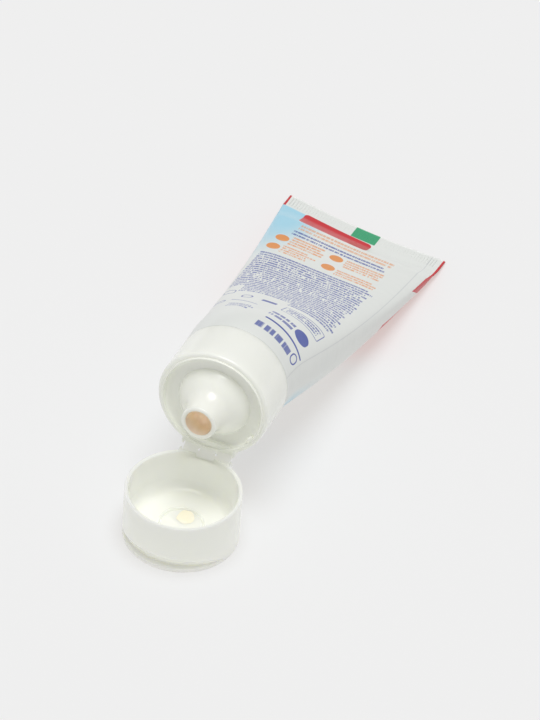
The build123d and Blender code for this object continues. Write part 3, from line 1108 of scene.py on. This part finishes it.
@dataclass
class PasteFill:
    """Wet paste: its surface in the nozzle and a dried smear in the lid. Millimetres."""

    axis: TubeAxis
    bore_r: float = 4.06
    level: float = 6.9
    depth: float = 5.0
    film_top: float = 10.9
    lump: float = 0.75
    lump_scale: float = 0.42
    around: int = 56
    smear_r: float = 3.0
    smear_h: float = 0.09
    smear_sunk: float = 0.02
    smear_off: tuple = (0.0, 3.2)
    lid_floor: float = 3.4

    def plug(self, finish: bpy.types.Material) -> bpy.types.Object:
        """Make the plug of paste in the bore, uneven on top and drawn up its wall.

        Args:
            finish: The paste's material.

        Returns:
            The plug.
        """
        rings, around, verts = 20, self.around, []
        for r in range(rings):
            part = 1 - (r / rings) ** 2
            radius = self.bore_r * part
            for i in range(around):
                a = 2 * math.pi * i / around
                x, y = radius * math.cos(a), radius * math.sin(a)
                seat = Vector((x * self.lump_scale, y * self.lump_scale, 1.3))
                bulge = noise.noise(seat) * self.lump - 0.2
                climb = (self.film_top - self.level) * part ** 7
                height = self.level + bulge * (1 - part ** 4) + climb
                verts.append(tuple(self.axis.cap_point(radius, height, a)))
        top = len(verts)
        verts.append(tuple(self.axis.cap_point(0, self.level, 0)))
        faces = [face[::-1] for face in bands(rings, around)]
        faces += fan(top, (rings - 1) * around, around)
        low = len(verts)
        for i in range(around):
            turn = 2 * math.pi * i / around
            verts.append(tuple(self.axis.cap_point(self.bore_r, self.level - self.depth, turn)))
        faces += [(i, low + i, low + (i + 1) % around, (i + 1) % around) for i in range(around)]
        faces.append(underside(low, around))
        obj = mesh_object("paste_in_nozzle", verts, faces, finish)
        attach(obj, Body.TUBE.value)
        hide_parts("paste")
        return obj

    def smear(self, finish: bpy.types.Material, centre: Vector) -> bpy.types.Object:
        """Make the thin smear on the lid's floor.

        Args:
            finish: The smear's material.
            centre: Middle of the lid's floor.

        Returns:
            The smear.
        """
        rings, around, verts = 11, self.around, []
        centre = centre + Vector((*self.smear_off, -self.smear_sunk))
        for r in range(rings):
            f = 1 - r / rings
            for i in range(around):
                a = 2 * math.pi * i / around
                wander = noise.noise(Vector((math.cos(a) * 1.3, math.sin(a) * 1.3, 5.0)))
                edge = self.smear_r * (1 + 0.28 * wander)
                x, y = edge * f * math.cos(a), edge * f * math.sin(a)
                lump = noise.noise(Vector((x * 0.8, y * 0.8, 2.0)))
                height = self.smear_h * (1 - f ** 3) * (1 + 0.6 * lump)
                verts.append((centre.x + x, centre.y + y, centre.z + height))
        top = len(verts)
        verts.append((centre.x, centre.y, centre.z + self.smear_h))
        faces = [(a, b, c, d) for a, d, c, b in bands(rings, around)]
        faces += fan(top, (rings - 1) * around, around)
        faces.append(underside(0, around))
        obj = mesh_object("paste_smear", verts, faces, finish)
        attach(obj, Body.LID.value)
        return obj


@dataclass
class FlipTopCap:
    """Cap base, hinge link and lid, which keep their solids' shape. Millimetres and degrees."""

    axis: TubeAxis
    lug_r: float = 15.1
    lug_at: float = -33.0
    lug_h: float = 0.3
    lug_wide: float = 1.4
    lug_deep: float = 0.65
    lug_rise: float = 1.3
    lug_sunk: float = 0.5

    def dress(self) -> None:
        """Put the cap's plastic on its three solids and the shoulder's on the shoulder."""
        # both plastics glow faintly: painted light that stands in for light passing through the thin plastic
        plastic = CapPlastic(through=0.3, glow=0.06).build()
        thin = CapPlastic(name="lid_plastic").build()
        for node, finish in (("cap_base", plastic), ("hinge_link", thin), ("lid", thin),
                             ("tube_shoulder", MattePlastic().build())):
            obj = bpy.data.objects[node]
            obj.data.materials.clear()
            obj.data.materials.append(finish)
            LOG.info("dressed %s", node)
        self.lug(plastic)

    def lug(self, finish: bpy.types.Material) -> None:
        """Make the small moulded catch on the dish's slope, beside the hinge.

        Args:
            finish: The cap's plastic.
        """
        rings, around, verts = 7, 24, []
        turn, foot = math.radians(self.lug_at), self.lug_h - self.lug_sunk
        for r in range(rings):
            lift = math.pi / 2 * r / rings
            f, height = math.cos(lift), foot + self.lug_rise * math.sin(lift)
            for i in range(around):
                a = 2 * math.pi * i / around
                radius = self.lug_r + self.lug_deep * f * math.cos(a)
                angle = turn + self.lug_wide * f * math.sin(a) / self.lug_r
                verts.append(tuple(self.axis.cap_point(radius, height, angle)))
        top = len(verts)
        verts.append(tuple(self.axis.cap_point(self.lug_r, foot + self.lug_rise, turn)))
        faces = [face[::-1] for face in bands(rings, around)]
        faces += fan(top, (rings - 1) * around, around)
        faces.append(underside(0, around))
        obj = mesh_object("cap_catch", verts, faces, finish)
        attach(obj, Body.TUBE.value)
        report(obj)


@dataclass
class Studio:
    """Pale floor, soft light and the camera. Millimetres and degrees."""

    azimuth: float = 19.66
    elevation: float = 41.74
    roll: float = 4.23
    distance: float = 2022.3
    lens: float = 330.8
    sensor: float = 36.0
    target: tuple = (-5.41, 17.04, 0.0)
    floor_half: float = 1800.0
    sky: float = 0.41
    key_way: tuple = (0.04, 0.02, 1.0)
    key_spread: float = 34.0
    key_strength: float = 1.80

    def forward(self) -> Vector:
        """Direction in which the camera looks."""
        az, el = math.radians(self.azimuth), math.radians(self.elevation)
        return Vector((-math.sin(az) * math.cos(el), math.cos(az) * math.cos(el), -math.sin(el)))

    def camera(self) -> None:
        """Place the camera."""
        data = bpy.data.cameras.new("studio_camera")
        data.lens = self.lens
        data.sensor_width = self.sensor
        data.clip_start, data.clip_end = 0.01, 20.0
        cam = bpy.data.objects.new("studio_camera", data)
        bpy.context.scene.collection.objects.link(cam)
        ahead = self.forward()
        right = ahead.cross(Vector((0, 0, 1))).normalized()
        up = right.cross(ahead)
        lean = math.radians(self.roll)
        x = right * math.cos(lean) + up * math.sin(lean)
        y = up * math.cos(lean) - right * math.sin(lean)
        at = Vector(self.target) - ahead * self.distance
        rows = Matrix((x, y, -ahead)).transposed().to_4x4()
        cam.matrix_world = Matrix.Translation(at * MM) @ rows
        bpy.context.scene.camera = cam

    def light(self, name: str, way: tuple, spread: float, strength: float) -> None:
        """Add a wide soft light that shines evenly over the floor.

        Args:
            name: The light's name.
            way: From the object to the light.
            spread: The light's width as seen from the object, in degrees.
            strength: Its strength.
        """
        data = bpy.data.lights.new(name, "SUN")
        data.angle, data.energy = math.radians(spread), strength
        obj = bpy.data.objects.new(name, data)
        bpy.context.scene.collection.objects.link(obj)
        obj.location = Vector(way)
        obj.rotation_euler = Vector(way).to_track_quat("Z", "Y").to_euler()

    def build(self) -> None:
        """Make the floor, the lights, the sky and the camera."""
        s = self.floor_half
        corners = [(-s, -s, 0), (s, -s, 0), (s, s, 0), (-s, s, 0)]
        mesh_object("floor", corners, [(0, 1, 2, 3)], Backdrop().build(), False)
        world = bpy.data.worlds.new("studio")
        world.use_nodes = True
        background = world.node_tree.nodes["Background"]
        background.inputs["Color"].default_value = (1.0, 1.0, 1.0, 1.0)
        background.inputs["Strength"].default_value = self.sky
        bpy.context.scene.world = world
        bpy.context.scene.view_settings.view_transform = "Standard"
        self.light("key", self.key_way, self.key_spread, self.key_strength)
        self.camera()


def main() -> None:
    """Build the tube, its cap, the paste and the studio, and report each."""
    logging.basicConfig(level=logging.INFO, format="%(name)s: %(message)s")
    axis = TubeAxis()
    laminate = PrintedLaminate().build()
    wet = WetPaste().build()
    sleeve = Sleeve(axis)
    report(sleeve.build(laminate))
    report(CrimpRibs(axis, sleeve).build(laminate))
    fill = PasteFill(axis)
    report(fill.plug(wet))
    low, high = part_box("lid")
    lid_middle = Vector(((low[0] + high[0]) / 2 / MM, low[1] / MM + axis.body_r, fill.lid_floor))
    report(fill.smear(DRIED_PASTE.build(), lid_middle))
    FlipTopCap(axis).dress()
    Studio().build()


if __name__ == "__main__":
    main()
